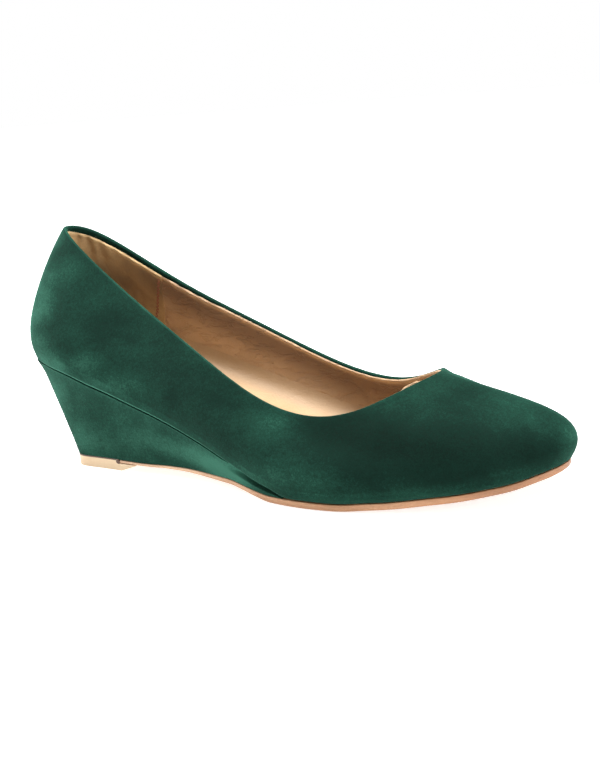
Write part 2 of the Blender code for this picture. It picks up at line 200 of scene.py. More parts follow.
def curve(rows, at):
    """The closed smooth curve through the rows, at stations."""
    slope = slopes(rows)
    row = np.floor(at).astype(int)
    part = (at - row)[:, None]
    here, there = row % len(rows), (row + 1) % len(rows)
    line = rows[here] + (rows[there] - rows[here]) * smooth(part)
    return line + slope[here] * part * (1 - part) ** 2 - slope[there] * part ** 2 * (1 - part)


def unit(vectors):
    return vectors / np.maximum(np.linalg.norm(vectors, axis=-1, keepdims=True), 1e-12)


def outward(along):
    """Directions in plan at right angles to the way round, away from the shoe."""
    return unit(np.stack([along[:, 1], -along[:, 0]], axis=1))


def outline_rows(shape, inset=0.0):
    """An outline's rows in plan, moved in by the inset."""
    x = shape["along"] * SHOE_LENGTH
    outer = np.stack([x, -shape["outer"] * shape["width"]], axis=1)
    inner = np.stack([x, shape["inner"] * shape["width"]], axis=1)
    rows = both_sides(outer, inner)
    return rows - outward(slopes(rows)) * inset


def on_bottom(plan):
    return np.concatenate([plan, last_bottom(plan[:, :1])], axis=1)


def turned_out(rows, at):
    """The outward directions in plan of the curve through the rows."""
    return outward((curve(rows, at + 0.2) - curve(rows, at - 0.2))[:, :2])


def wall_controls(at):
    """The four control points of the wall at stations, from the feather edge to the topline."""
    feather_rows = outline_rows(FEATHER)
    feather = on_bottom(curve(feather_rows, at))
    height = TOPLINE["height"] * TOPLINE["share"]
    x = TOPLINE["along"] * SHOE_LENGTH
    z = last_bottom(x) + height
    outer = np.stack([x, -TOPLINE["outer"] * TOPLINE["width"], z], axis=1)
    inner = np.stack([x, TOPLINE["inner"] * TOPLINE["width"], z], axis=1)
    topline_rows = both_sides(outer, inner)
    topline = curve(topline_rows, at)

    def column(values):
        return curve(both_sides(values, values)[:, None], at)

    flare = np.radians(column(WALL["flare"]))
    lean = np.radians(column(WALL["lean"]))
    rise = column(WALL["rise"] * height)
    drop = column(WALL["drop"] * height)
    fan = column(WALL["fan"])
    out = turned_out(feather_rows, at)
    towards = unit(feather[:, :2] - topline[:, :2])
    back = unit(turned_out(topline_rows, at) * (1 - fan) + towards * fan)
    low = feather + np.concatenate([out * np.sin(flare), np.cos(flare)], axis=1) * rise
    high = topline + np.concatenate([back * np.sin(lean), -np.cos(lean)], axis=1) * drop
    return np.stack([feather, low, high, topline])


def bezier(controls, part):
    first, second, third, fourth = controls[:, :, None]
    part = part[:, :, None]
    rest = 1 - part
    return (
        first * rest ** 3
        + second * 3 * part * rest ** 2
        + third * 3 * part ** 2 * rest
        + fourth * part ** 3
    )


def wall(at, down, depth=0.0):
    """Points of the wall at stations, by distances down from the topline and in from the skin."""
    down = np.broadcast_to(down, (len(at), np.shape(down)[-1]))
    controls = wall_controls(at)
    parts = np.broadcast_to(np.linspace(1, 0, 81), (len(at), 81))
    steps = np.linalg.norm(np.diff(bezier(controls, parts), axis=1), axis=2)
    length = np.concatenate([np.zeros((len(at), 1)), np.cumsum(steps, axis=1)], axis=1)
    part = np.array([np.interp(far, line, parts[0]) for far, line in zip(down, length)])
    part = part - np.minimum(down, 0) / length[:, -1:]
    across = bezier(wall_controls(at + 0.1), part) - bezier(wall_controls(at - 0.1), part)
    up = bezier(controls, part + 0.01) - bezier(controls, part - 0.01)
    out = unit(np.cross(across, up))
    return bezier(controls, part) - out * np.broadcast_to(depth, down.shape)[:, :, None], out


def wall_length(at):
    """How long the wall is from the feather edge to the topline."""
    parts = np.broadcast_to(np.linspace(1, 0, 81), (len(at), 81))
    line = bezier(wall_controls(at), parts)
    return np.linalg.norm(np.diff(line, axis=1), axis=2).sum(axis=1)


def relief(points):
    """How far the creases lift each point of the suede."""
    lift = np.zeros(points.shape[:-1])
    for start, end, width, height in CREASES:
        start, end = np.array(start), np.array(end)
        line = end - start
        share = np.clip((points - start) @ line / (line @ line), 0, 1)
        near = start + share[..., None] * line
        far = np.linalg.norm(points - near, axis=-1)
        taper = smooth(2.4 * share) * smooth(2.4 * (1 - share)) + 0.25
        lift += height * np.exp(-(far / width) ** 2) * taper
    return lift


def laid(rows, measured=None):
    """A grid laid through rows of points and welded where they meet, with UV by column and row."""
    rows = np.asarray(rows)
    up, across = rows.shape[:2]
    mesh = bmesh.new()
    bmesh.ops.create_grid(mesh, x_segments=across - 1, y_segments=up - 1, size=0.5)
    layer = mesh.loops.layers.uv.new("UVMap")
    spots = {}
    for vertex in mesh.verts:
        col = round((vertex.co.x + 0.5) * (across - 1))
        row = round((vertex.co.y + 0.5) * (up - 1))
        spots[vertex] = (row, col)
    for face in mesh.faces:
        for loop in face.loops:
            row, col = spots[loop.vert]
            loop[layer].uv = (col, row) if measured is None else measured[row, col]
    for vertex, (row, col) in spots.items():
        vertex.co = rows[row, col] + LAST_TO_ROW
    bmesh.ops.remove_doubles(mesh, verts=mesh.verts, dist=1e-7)
    return mesh


class Signal:
    """A socket that Python's own arithmetic works on: each operation adds a Math node."""

    def __init__(self, finish, socket):
        self.finish = finish
        self.socket = socket

    def __add__(self, other):
        return self.finish.math("ADD", self, other)

    def __sub__(self, other):
        return self.finish.math("SUBTRACT", self, other)

    def __rsub__(self, other):
        return self.finish.math("SUBTRACT", other, self)

    def __mul__(self, other):
        return self.finish.math("MULTIPLY", self, other)

    __radd__ = __add__
    __rmul__ = __mul__


class Finish:
    """A material under way: node() adds any node, the others the few kinds used often."""

    def __init__(self, name, **settings):
        self.material = bpy.data.materials.new(name)
        self.material.use_nodes = True
        self.tree = self.material.node_tree
        self.shader = self.tree.nodes["Principled BSDF"]
        for socket, value in settings.items():
            self.shader.inputs[socket.replace("_", " ")].default_value = value

    def node(self, kind, settings, sockets, output=0):
        node = self.tree.nodes.new(kind)
        for name, value in settings.items():
            if name == "stops":
                ramp = node.color_ramp
                while len(ramp.elements) < len(value):
                    ramp.elements.new(0.5)
                for element, (place, colour) in zip(ramp.elements, value):
                    element.position = place
                    element.color = (*colour, 1)
            else:
                setattr(node, name, value)
        for socket, value in sockets.items():
            if isinstance(value, Signal):
                self.tree.links.new(value.socket, node.inputs[socket])
            else:
                node.inputs[socket].default_value = value
        return Signal(self, node.outputs[output])

    def math(self, operation, *values):
        return self.node("ShaderNodeMath", {"operation": operation}, dict(enumerate(values)))

    def place(self, output="Object", scale=(1, 1, 1), turn=(0, 0, 0)):
        here = self.node("ShaderNodeTexCoord", {}, {}, output)
        return self.node("ShaderNodeMapping", {}, {0: here, "Rotation": turn, "Scale": scale})

    def noise(self, fineness, detail=2.0, rough=0.5, warp=0.0, **where):
        sockets = {"Vector": self.place(**where), "Scale": fineness, "Detail": detail}
        sockets.update({"Roughness": rough, "Distortion": warp})
        return self.node("ShaderNodeTexNoise", {}, sockets)

    def spread(self, value, low, high, start=0.0, end=1.0):
        """The value's range from low to high, stretched softly to start and end."""
        sockets = {0: value, 1: low, 2: high, 3: start, 4: end}
        return self.node("ShaderNodeMapRange", {"interpolation_type": "SMOOTHSTEP"}, sockets)

    def spot(self, centre, size):
        """1 at a place on the shoe, falling softly to 0 at the size's distance."""
        here = self.node("ShaderNodeTexCoord", {}, {}, "Object")
        middle = tuple(float(value) for value in np.array(centre) + LAST_TO_ROW)
        stretch = tuple(1 / value for value in size)
        kind = "ShaderNodeVectorMath"
        offset = self.node(kind, {"operation": "SUBTRACT"}, {0: here, 1: middle})
        offset = self.node(kind, {"operation": "MULTIPLY"}, {0: offset, 1: stretch})
        far = self.node(kind, {"operation": "LENGTH"}, {0: offset}, "Value")
        return self.spread(far, 0.0, 1.0, 1.0, 0.0)

    def blend(self, factor, first, second):
        settings = {"data_type": "RGBA", "clamp_factor": True}
        return self.node("ShaderNodeMix", settings, {0: factor, 6: first, 7: second}, 2)

    def shades(self, value, *stops):
        return self.node("ShaderNodeValToRGB", {"stops": stops}, {0: value})

    def band(self, low, high):
        """1 between two rows of the piece's own grid, falling to 0 within a row or two."""
        here = self.node("ShaderNodeUVMap", {"uv_map": "UVMap"}, {})
        row = self.node("ShaderNodeSeparateXYZ", {}, {0: here}, 1)
        return self.spread(row, low - 1.5, low) * self.spread(row, high, high + 1.5, 1.0, 0.0)

    def painted_edge_shade(self, colour, painted_shade):
        """The colour, darkened by painted shade in a band below the edge and all down the heel's
        inner side.
        """
        here = self.node("ShaderNodeUVMap", {"uv_map": "UVMap"}, {})
        down = self.node("ShaderNodeSeparateXYZ", {}, {0: here}, 1)
        along = self.node("ShaderNodeSeparateXYZ", {}, {0: here}, 0)
        heel = self.spread(along, *HEEL_SHADE_FROM)
        band = self.spread(down, *EDGE_SHADE_TOP) * self.spread(down, *EDGE_SHADE_FOOT, 1.0, 0.0)
        inside = self.spread(down, *HEEL_SHADE_DOWN) * 0.88
        below = self.math("MAXIMUM", band * (1 - heel * 0.8), heel * inside)
        return self.blend(below * EDGE_SHADE_DEPTH, colour, painted_shade)

    def bump(self, height, distance, strength=1.0, under=None):
        sockets = {"Height": height, "Distance": distance, "Strength": strength}
        if under is not None:
            sockets["Normal"] = under
        return self.node("ShaderNodeBump", {}, sockets)

    def give(self, **links):
        for socket, value in links.items():
            self.tree.links.new(value.socket, self.shader.inputs[socket.replace("_", " ")])
        return self.material


def suede(name, base, nap_highlights, painted_shade, edges):
    """Suede with its nap in clouds: painted highlights at listed places where the nap catches the
    light and along edges, painted shade at others.
    """
    finish = Finish(name, Sheen_Weight=0.20, Sheen_Roughness=0.28, Sheen_Tint=(0.22, 0.85, 0.58, 1))
    finish.shader.inputs["Specular IOR Level"].default_value = 0.05
    clouds = finish.noise(34, 4, 0.6, 0.6)
    drift = finish.noise(95, 3, 0.55, 0.4, scale=(0.55, 1, 1), turn=(0, 0.5, 0))
    fibres = finish.noise(900, 3, 0.7)
    fine = finish.noise(2200, 2, 0.7)
    tone = base + clouds * 0.34 + drift * 0.24 + (fibres - 0.5) * 0.45 + (fine - 0.5) * 0.45
    # Painted highlights along rows of the rolled edges
    for low, high, amount, centre, size in edges:
        tone = tone + finish.band(low, high) * finish.spot(centre, size) * amount
    # Painted highlights where the nap catches the light
    for centre, size, amount in nap_highlights:
        tone = tone + finish.spot(centre, size) * amount * (0.55 + drift)
    # Painted shade
    for centre, size, amount in painted_shade:
        tone = tone - finish.spot(centre, size) * amount
    stops = (
        (0.0, (0.0012, 0.0066, 0.0042)),
        (0.35, (0.0030, 0.0150, 0.0100)),
        (0.6, (0.0070, 0.0340, 0.0225)),
        (1.0, (0.0270, 0.1000, 0.0680)),
    )
    nap = finish.bump(fibres, 0.00022, 0.55)
    hand = finish.bump(drift, 0.0009, 0.35, nap)
    rough = finish.spread(fibres, 0.3, 0.7, 0.82, 0.97)
    return finish.give(Base_Color=finish.shades(tone, *stops), Roughness=rough, Normal=hand)


# Painted highlights where the nap catches the light, then painted shade: centre, size and how much,
# in shoe sizes
UPPER_NAP_HIGHLIGHTS = (
    ((0.0120, -0.0180, 0.0660), (0.014, 0.014, 0.030), 0.30),
    ((0.0160, -0.0240, 0.0480), (0.018, 0.014, 0.014), 0.26),
    ((0.0420, -0.0280, 0.0480), (0.013, 0.014, 0.007), 0.34),
    ((0.0560, -0.0300, 0.0400), (0.034, 0.014, 0.009), 0.20),
    ((0.0250, -0.0130, 0.0830), (0.020, 0.014, 0.010), 0.14),
    ((0.1860, -0.0140, 0.0400), (0.018, 0.018, 0.007), 0.12),
    ((0.2080, -0.0040, 0.0340), (0.022, 0.016, 0.008), 0.12),
    ((0.1380, -0.0400, 0.0300), (0.018, 0.014, 0.009), 0.24),
    ((0.2340, -0.0020, 0.0205), (0.006, 0.012, 0.014), 0.18),
    ((0.1400, -0.0420, 0.0120), (0.036, 0.016, 0.008), 0.14),
    ((0.0130, -0.0080, 0.0960), (0.010, 0.014, 0.008), 0.30),
    ((0.0260, -0.0260, 0.0460), (0.020, 0.014, 0.008), 0.24),
)
UPPER_PAINTED_SHADE = (
    ((0.2000, -0.0290, 0.0220), (0.036, 0.028, 0.015), 0.36),
    ((0.1720, -0.0400, 0.0180), (0.034, 0.026, 0.016), 0.20),
    ((0.2240, -0.0160, 0.0200), (0.018, 0.016, 0.012), 0.24),
    ((0.0540, -0.0200, 0.0640), (0.024, 0.018, 0.012), 0.16),
    ((0.1000, -0.0340, 0.0400), (0.050, 0.020, 0.014), 0.08),
    ((0.1620, -0.0360, 0.0290), (0.040, 0.022, 0.012), 0.36),
    ((0.2060, -0.0270, 0.0110), (0.034, 0.020, 0.007), 0.12),
    ((0.1900, -0.0160, 0.0360), (0.020, 0.016, 0.008), 0.10),
)
# Painted highlights on rows of the grid that lie along the feather edge and round the topline, where
# the rolled suede
# catches the light: the rows, how much lighter they are, and where: the pinched edge over the
# wedge's seam most of all
UPPER_EDGE_HIGHLIGHTS = (
    (5.6, 6.8, 0.60, (0.060, -0.026, 0.030), (0.085, 0.030, 0.070)),
    (7, 12, 0.10, (0.100, -0.030, 0.020), (0.240, 0.100, 0.100)),
    (59.5, 61, 0.20, (0.100, 0.000, 0.050), (0.400, 0.200, 0.200)),
)


def piece(name, mesh, material, angle=SMOOTH_ANGLE):
    """An object of the mesh that rides on the shoe and takes its finish from a slot."""
    data = bpy.data.meshes.new(name)
    mesh.edges.index_update()
    rim = [edge.index for edge in mesh.edges if edge.is_boundary]
    mesh.to_mesh(data)
    mesh.free()
    data.shade_smooth()
    data.set_sharp_from_angle(angle=angle)
    for index in rim:
        data.edges[index].use_edge_sharp = True
    data.materials.append(material)
    made = bpy.data.objects.new(name, data)
    bpy.context.scene.collection.objects.link(made)
    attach(made, "root")
    return made


def feather_turn(at, radius):
    """Where the skin turns under at the feather edge: start, directions, angle and its leg."""
    rows = outline_rows(FEATHER)
    feather, low = wall_controls(at)[:2]
    plan = curve(rows, at)
    level = on_bottom(plan - turned_out(rows, at) * UPPER_WALL)
    under = unit(feather - level)
    up = unit(low - feather)
    turn = np.arccos(np.clip(np.sum(under * up, axis=1, keepdims=True), -1, 1))
    side = unit(up - under * np.cos(turn))
    leg = radius * np.tan(turn / 2)
    return feather - under * leg, under, side, turn, leg


def suede_rows():
    """The suede's skin: margin, feather edge, wall, fold at the topline and the back of it."""
    radius = UPPER_WALL + FEATHER_HOLLOW
    start, under, side, turn, leg = feather_turn(STATIONS, radius)
    margin = on_bottom(curve(outline_rows(FEATHER, MARGIN_WIDTH), STATIONS))
    back = 1 - SUEDE_THICKNESS / radius
    rows = [margin]
    inside = [margin + np.array([0, 0, SUEDE_THICKNESS])]
    for step in range(9):
        angle = turn * step / 8
        rows.append(start + (under * np.sin(angle) + side * (1 - np.cos(angle))) * radius)
        way = under * np.sin(angle) - side * np.cos(angle)
        inside.append(start + side * radius + way * radius * back)
    length = wall_length(STATIONS)[:, None]
    share = np.linspace(1, 0, 49)[None, 1:]
    rim = UPPER_WALL / 2
    down = rim + (length - leg - rim) * share
    skin, out = wall(STATIONS, down)
    at_toe = smooth(PUCKER_STATIONS - abs(STATIONS - 10))
    pucker = np.sin(STATIONS * 61) * np.sin(STATIONS * 37 + 1) * at_toe * PUCKER_HEIGHT
    low_edge = np.exp(-((length - down) / EDGE_FADE) ** 2)
    lift = relief(skin) * smooth(down / EDGE_FADE) + pucker[:, None] * low_edge
    skin = skin + out * lift[:, :, None]
    hidden = wall(STATIONS, down, SUEDE_THICKNESS)[0]
    rows.extend(skin[:, step] for step in range(skin.shape[1]))
    middle = skin[:, -1] - out[:, -1] * rim
    upward = unit(skin[:, -1] - skin[:, -2])
    for step in range(1, 8):
        angle = math.pi * step / 8
        rows.append(middle + (out[:, -1] * math.cos(angle) + upward * math.sin(angle)) * rim)
    fold = [(0.0, UPPER_WALL), (0.0005, UPPER_WALL), (FOLD_DEPTH, UPPER_WALL)]
    fold += [(FOLD_DEPTH + 0.0003, 0.0017), (FOLD_DEPTH + 0.0003, SUEDE_THICKNESS)]
    for far, depth in fold:
        rows.append(wall(STATIONS, np.array([rim + far]), depth)[0][:, 0])
    for step in range(hidden.shape[1] - 4, -1, -4):
        rows.append(hidden[:, step])
    rows.extend(inside[::-1])
    rows.append(margin)
    return rows


upper_suede = suede("upper suede", 0.155, UPPER_NAP_HIGHLIGHTS, UPPER_PAINTED_SHADE, UPPER_EDGE_HIGHLIGHTS)
suede_upper = piece("suede_upper", laid(suede_rows()), upper_suede)
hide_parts("upper")


# The lining. A thin tan leather is sewn to the suede under its fold, with a small rolled edge,
# and drawn down over the inside of the last. It gathers a little along the collar.
LINING_THICKNESS = 0.0005
LINING_DEPTH = 0.00215
STATION_LENGTH = 0.028
LINING_PROFILE = (
    (0.00310, 0.00130),
    (0.00220, 0.00140),
    (0.00188, 0.00165),
    (0.00180, 0.00205),
    (0.00200, 0.00245),
    (0.00245, 0.00262),
    (0.00310, 0.00248),
    (0.00390, 0.00228),
)
# How far the edge is moved in towards each station: lower along the quarters, higher at the throat
EDGE_RAISED = (
    (0.0, 0.0000),
    (7.0, 0.0000),
    (8.0, 0.0022),
    (13.3, 0.0022),
    (14.2, 0.0014),
    (15.0, 0.0010),
    (16.0, 0.0008),
    (16.9, 0.0001),
    (17.8, -0.0007),
    (19.0, -0.0009),
    (20.0, 0.0000),
)
# Along the outer side of the throat the rolled edge comes up over the suede: down and depth
LIP = (
    (0.0, 0.0),
    (-0.00008, -0.00012),
    (-0.00002, -0.00100),
    (-0.00020, -0.00150),
    (-0.00050, -0.00145),
    (-0.00075, -0.00100),
    (-0.00080, -0.00040),
    (-0.00060, 0.0),
)
# Painted shade on the leather below the fold, in metres down from its edge and along it from the
# heel's back
EDGE_SHADE_DEPTH = 0.722
EDGE_SHADE_TOP = (0.0026, 0.0056)
EDGE_SHADE_FOOT = (0.008, 0.024)
HEEL_SHADE_FROM = (0.480, 0.515)
HEEL_SHADE_DOWN = (0.006, 0.020)
# Gathers: station, its slant in stations per centimetre, width in stations, depth and length
GATHERS = (
    (19.10, 0.10, 0.14, 0.00060, 0.0090),
    (18.78, -0.12, 0.13, 0.00080, 0.0110),
    (18.52, 0.15, 0.11, 0.00060, 0.0090),
    (18.28, 0.05, 0.14, 0.00080, 0.0120),
    (18.02, -0.10, 0.10, 0.00055, 0.0090),
    (17.72, 0.12, 0.08, 0.00050, 0.0090),
    (17.22, -0.20, 0.07, 0.00045, 0.0080),
    (17.02, -0.30, 0.06, 0.00040, 0.0070),
    (16.80, -0.30, 0.05, 0.00030, 0.0060),
    (16.45, 0.10, 0.08, 0.00020, 0.0050),
    (15.60, 0.10, 0.09, 0.00015, 0.0050),
    (0.55, 0.10, 0.10, 0.00045, 0.0070),
    (1.10, -0.10, 0.09, 0.00040, 0.0070),
    (1.60, 0.10, 0.08, 0.00035, 0.0060),
    (2.20, -0.10, 0.08, 0.00030, 0.0060),
    (13.40, 0.10, 0.10, 0.00020, 0.0060),
    (6.60, 0.10, 0.10, 0.00020, 0.0060),
)


def gathered(at, down):
    """How far the gathers lift the lining off the wall."""
    lift = np.zeros(down.shape)
    for station, slant, width, height, reach in GATHERS:
        away = (at[:, None] - station - slant * down * 100 + 10) % 20 - 10
        ridge = np.exp(-(away / width) ** 2) - 0.6 * np.exp(-((away - 1.5 * width) / width) ** 2)
        lift += height * ridge * np.exp(-(down / reach) ** 2)
    return lift


def edge_raised(at):
    """How much higher the lining's edge stands at stations."""
    stations, raised = np.array(EDGE_RAISED).T
    return steady(stations, raised, at % 20)


def lining_rows(stations_at, raised, higher, lowest):
    """The lining's face from its rolled edge down, raised off the wall by a step."""
    last = LINING_PROFILE[-1][0]
    least = wall_length(STATIONS).min() - lowest
    points, measured = [], []
    for (far, depth), (lip_down, lip_depth) in zip(LINING_PROFILE, LIP):
        at = stations_at(far)
        lip = smooth((at - 6.7) / 0.8) * smooth((9.0 - at) / 0.5)
        down = (far - higher - edge_raised(at) + lip_down * lip)[:, None]
        lift = gathered(at, down)
        sunk = depth + raised + lip_depth * lip[:, None] + lift * smooth((down - 0.0010) / 0.0006)
        down = down - lift * 0.8 * smooth((0.0035 - down) / 0.002)
        points.append(wall(at, down, sunk)[0][:, 0])
        measured.append(np.stack([at * STATION_LENGTH, np.full(len(at), far)], axis=1))
    for part in np.linspace(0, 1, 43)[1:] ** 1.3:
        at = stations_at(last + (least - last) * part)
        length = wall_length(at)[:, None] - lowest
        lower = last + (length - last) * part
        down = lower - edge_raised(at)[:, None] * (1 - part)
        points.append(wall(at, down, LINING_DEPTH + raised + gathered(at, down))[0][:, 0])
        measured.append(np.stack([at * STATION_LENGTH, lower[:, 0]], axis=1))
    return np.array(points), np.array(measured)


def leather(name, pale, mid, dark, wrinkle):
    """Thin lining leather: faint clouds, a fine grain and long shallow wrinkles."""
    finish = Finish(name, Sheen_Weight=0.10, Sheen_Roughness=0.5, Sheen_Tint=(1.0, 0.86, 0.66, 1))
    finish.shader.inputs["Specular IOR Level"].default_value = 0.35
    clouds = finish.noise(42, 4, 0.6, 0.5)
    lines = finish.noise(210, 4, 0.62, 0.6, scale=(0.45, 0.45, 1.3), turn=(0, 0.33, 0))
    grain = finish.noise(1500, 2, 0.6)
    folds = finish.spread(lines, 0.44, 0.56)
    tone = 0.5 + (clouds - 0.5) * 0.6 + (folds - 0.5) * 0.10 * wrinkle + (grain - 0.5) * 0.34
    colour = finish.shades(tone, (0.2, dark), (0.5, mid), (0.85, pale))
    # Painted shade below the edge and down the heel's inner side
    colour = finish.painted_edge_shade(colour, (0.070, 0.029, 0.013, 1))
    fine = finish.bump(grain, 0.00010, 0.5)
    creased = finish.bump(folds, 0.0005 * wrinkle, 0.7, fine)
    gloss = finish.spread(clouds, 0.3, 0.7, 0.44, 0.58)
    return finish.give(Base_Color=colour, Roughness=gloss, Normal=creased)


def backed(made, thickness):
    """Gives a thin leather its thickness, behind the face that shows."""
    backing = made.modifiers.new("backing", "SOLIDIFY")
    backing.thickness = thickness
    backing.offset = -1


lining_leather = leather(
    "lining leather", (0.51, 0.35, 0.21), (0.45, 0.29, 0.165), (0.36, 0.23, 0.125), 1.0
)
lining_mesh = laid(*lining_rows(lambda down: STATIONS, 0.0, 0.0, 0.0030))
backed(piece("lining", lining_mesh, lining_leather), LINING_THICKNESS)


# The heel grip. A softer brushed panel lines the heel from quarter to quarter over the lining,
# so that the heel doesn't slip, and its front edges are sewn down with a zigzag.
GRIP_FRONT = 2.69
GRIP_SLANT = 0.11
GRIP_RAISED = 0.00035
grip_share = np.linspace(-1, 1, 121)


def brushed_leather(name):
    finish = Finish(name, Sheen_Weight=0.35, Sheen_Roughness=0.4, Sheen_Tint=(1.0, 0.88, 0.62, 1))
    finish.shader.inputs["Specular IOR Level"].default_value = 0.2
    clouds = finish.noise(60, 4, 0.65, 0.8, scale=(1, 1, 0.7))
    nap = finish.noise(1100, 3, 0.7)
    tone = 0.5 + (clouds - 0.5) * 1.3 + (nap - 0.5) * 0.35
    stops = ((0.15, (0.30, 0.185, 0.085)), (0.5, (0.47, 0.315, 0.155)), (0.9, (0.66, 0.49, 0.26)))
    # Painted shade below the edge and down the heel's inner side
    colour = finish.painted_edge_shade(finish.shades(tone, *stops), (0.052, 0.029, 0.018, 1))
    soft = finish.bump(nap, 0.0002, 0.6)
    pressed = finish.bump(clouds, 0.0012, 0.4, soft)
    rough = finish.spread(nap, 0.3, 0.7, 0.72, 0.92)
    return finish.give(Base_Color=colour, Roughness=rough, Normal=pressed)


def grip_stations(down):
    """The grip's stations at a distance down: its front edges slant back towards the sock."""
    return 20 + grip_share * (GRIP_FRONT - GRIP_SLANT * down * 100)


grip_mesh = laid(*lining_rows(grip_stations, GRIP_RAISED, 0.0001, 0.0035))
heel_grip = piece("heel_grip", grip_mesh, brushed_leather("heel grip"))
backed(heel_grip, LINING_THICKNESS)


# The zigzag seams. A row of reddish thread runs down each front edge of the heel grip, and each
# stitch goes over the edge into the lining.
THREAD_RADIUS = 0.00020
STITCH_PITCH = 0.0011
SEAM_WIDTH = 0.045
SEAM_INSET = 0.004
SEAM_START = 0.0040
SEAM_REACH = 0.034
threads = bmesh.new()
for side in (-1, 1):
    count = int(SEAM_REACH / STITCH_PITCH)
    far = SEAM_START + STITCH_PITCH * np.arange(count)
    zigzag = SEAM_WIDTH * (np.arange(count) % 2)
    at = 20 + side * (GRIP_FRONT - GRIP_SLANT * far * 100 - SEAM_INSET - zigzag)
    points, out = wall(at, far[:, None], LINING_DEPTH + GRIP_RAISED + THREAD_RADIUS * 0.4)
    points, out = points[:, 0] + LAST_TO_ROW, out[:, 0]
    for begin, end, normal in zip(points[:-1], points[1:], out[:-1]):
        line = Vector(end - begin)
        along = line.normalized()
        across = along.cross(Vector(normal)).normalized()
        through = along.cross(across)
        turn = Matrix((along, across, through)).transposed().to_4x4()
        sizes = Matrix.Diagonal((line.length * 0.5, THREAD_RADIUS, THREAD_RADIUS, 1))
        spot = Matrix.Translation(Vector((begin + end) / 2)) @ turn @ sizes
        bmesh.ops.create_icosphere(threads, subdivisions=2, radius=1, matrix=spot)


def thread(name, colour):
    finish = Finish(name, Sheen_Weight=0.2)
    twist = finish.noise(2600, 2, 0.6)
    tone = finish.shades(twist, (0.3, tuple(0.6 * value for value in colour)), (0.7, colour))
    return finish.give(
        Base_Color=tone,
        Roughness=finish.spread(twist, 0.3, 0.7, 0.6, 0.85),
        Normal=finish.bump(twist, 0.0001, 0.6),
    )


piece("grip_seams", threads, thread("seam thread", (0.30, 0.085, 0.035)))


# The sock. A leather cover is glued on the insole, and its edge runs up against the lining.
SEAT = UPPER_WALL + 0.0003
INSOLE_TOP = SEAT + 0.0020
SOCK_THICKNESS = 0.0005
SOCK_RISE = 0.0090
SOCK_TURN = 0.0085
SOCK_ROW = 0.002


def over_last(plan, depth):
    """A plan curve laid on the last's bottom and raised at right angles to it."""
    x = plan[:, 0]
    slope = (last_bottom(x + 0.0003) - last_bottom(x - 0.0003)) / 0.0006
    lift = depth / np.sqrt(1 + slope ** 2)
    return np.stack([x - slope * lift, plan[:, 1], last_bottom(x) + lift], axis=1)


def level(ring, height):
    return np.concatenate([ring, np.broadcast_to(height, (len(ring),))[:, None]], axis=1)


def above_last(points, depth):
    """The points raised or lowered to a surface that is parallel to the last's bottom."""
    x = points[:, 0]
    slope = (last_bottom(x + 0.0003) - last_bottom(x - 0.0003)) / 0.0006
    return level(points[:, :2], last_bottom(x) + depth * np.sqrt(1 + slope ** 2))


def middle_of(ring):
    """The line half way between the two sides of a ring."""
    return (ring + ring[::-1]) / 2


def sock_rows():
    top = INSOLE_TOP + SOCK_THICKNESS + 0.00005
    length = wall_length(STATIONS)
    high = wall(STATIONS, (length - top - SOCK_RISE)[:, None], 0.00210)[0][:, 0]
    corner = wall(STATIONS, (length - top)[:, None], 0.00230)[0][:, 0]
    plan = curve(outline_rows(FEATHER), STATIONS)
    flat = over_last(plan - turned_out(outline_rows(FEATHER), STATIONS) * (SEAT + SOCK_TURN), top)
    rows = []
    for step in range(8):
        part = step / 7
        rest = 1 - part
        rows.append(high * rest ** 2 + corner * 2 * part * rest + flat * part ** 2)
    middle = middle_of(flat)
    rows.extend(above_last(flat + (middle - flat) * share, top) for share in (0.25, 0.5, 0.75, 1.0))
    return rows


rows = sock_rows()
across, down = np.meshgrid(STATIONS * STATION_LENGTH, SOCK_ROW * np.arange(len(rows)))
down = down + wall_length(STATIONS) - INSOLE_TOP - SOCK_RISE
sock_leather = leather(
    "sock leather", (0.49, 0.33, 0.19), (0.42, 0.275, 0.15), (0.36, 0.23, 0.12), 0.15
)
sock = piece("sock", laid(rows, np.stack([across, down], axis=2)), sock_leather)
backed(sock, SOCK_THICKNESS)


# The insole board stays as it is in the model: pressed fibreboard under the sock.
def board(name):
    finish = Finish(name)
    fibres = finish.noise(700, 4, 0.7)
    colour = finish.shades(fibres, (0.3, (0.30, 0.21, 0.13)), (0.7, (0.48, 0.36, 0.23)))
    rough = finish.spread(fibres, 0.3, 0.7, 0.8, 0.95)
    return finish.give(Base_Color=colour, Roughness=rough, Normal=finish.bump(fibres, 0.0002, 0.5))


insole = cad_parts["insole"]
insole.data.materials.clear()
insole.data.materials.append(board("insole board"))


# The wedge. A light core is covered with the same suede, which is folded in round its top edge
# where it meets the upper, and runs out to a thin turned-in tip under the ball.
OUTSOLE_THICKNESS = 0.0027
TAIL_THICKNESS = 0.0010
ARCH_HUMP = 0.00295
TOP_PIECE_THICKNESS = 0.0043
CLEARANCE = 0.0003
WEDGE_SETBACK = 0.0005
WEDGE_FRONT = 0.576 * SHOE_LENGTH
WEDGE_HOLLOW = 0.0002
COVER_ROUND = 0.0009
COVER_LIP = 0.0013
WEDGE_STEP = 0.0036
STEP_START = 0.105
STEP_RUN = 0.018
TREAD = table(
    "along   width        outer   inner",
    (0.070, HEEL_WIDTH, 0.000, 0.000),
    (0.086, HEEL_WIDTH, 0.275, 0.275),
    (0.140, HEEL_WIDTH, 0.337, 0.332),
    (0.254, HEEL_WIDTH, 0.402, 0.375),
    (0.403, WAIST_WIDTH, 0.466, 0.392),
    (0.551, BALL_WIDTH, 0.497, 0.393),
    (0.678, BALL_WIDTH, 0.521, 0.455),
    (0.797, BALL_WIDTH, 0.440, 0.415),
    (0.898, BALL_WIDTH, 0.298, 0.285),
    (0.963, BALL_WIDTH, 0.128, 0.128),
    (0.979, BALL_WIDTH, 0.000, 0.000),
)
